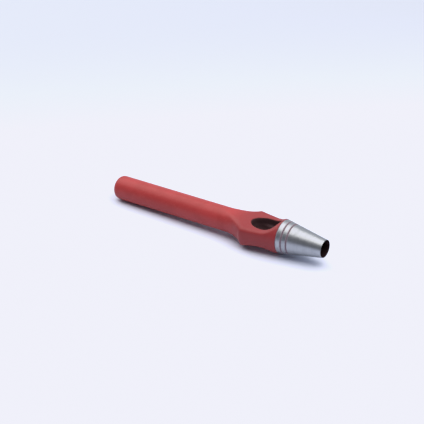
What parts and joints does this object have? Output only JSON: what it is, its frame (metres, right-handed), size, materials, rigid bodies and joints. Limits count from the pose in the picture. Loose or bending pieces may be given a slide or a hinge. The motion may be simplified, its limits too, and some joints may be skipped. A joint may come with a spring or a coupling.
{
  "type": "drive hole punch",
  "caption": "Hand drive punch for round holes in leather: round handle, flattened head with a slug window, and a screw-in tapered cutting tube.",
  "frame": {"origin": "centre of the cutting edge", "axes": "+X out of the cutting mouth along the tool's axis, +Z out of the slug window"},
  "size_m": [0.138, 0.0254, 0.02],
  "materials": {
    "red_paint": "satin red paint over forged steel",
    "ground_steel": "ground around the axis, bright"
  },
  "bodies": {
    "handle": {"shank": "red_paint"},
    "ring": {"lock_ring": "ground_steel"},
    "tube": {"cutting_tube": "ground_steel"}
  },
  "joints": [
    {"name": "ring_travel", "type": "slide", "parent": "handle", "child": "ring", "axis": [1, 0, 0], "range_m": [0, 0.003]},
    {"name": "tube_turn", "type": "hinge", "parent": "ring", "child": "tube", "pos_m": [0, 0, 0], "axis": [1, 0, 0], "range_deg": [0, 1080]}
  ],
  "couplings": [
    {"joint": "ring_travel", "follows": "tube_turn", "m_per_rad": 0.00015915}
  ]
}
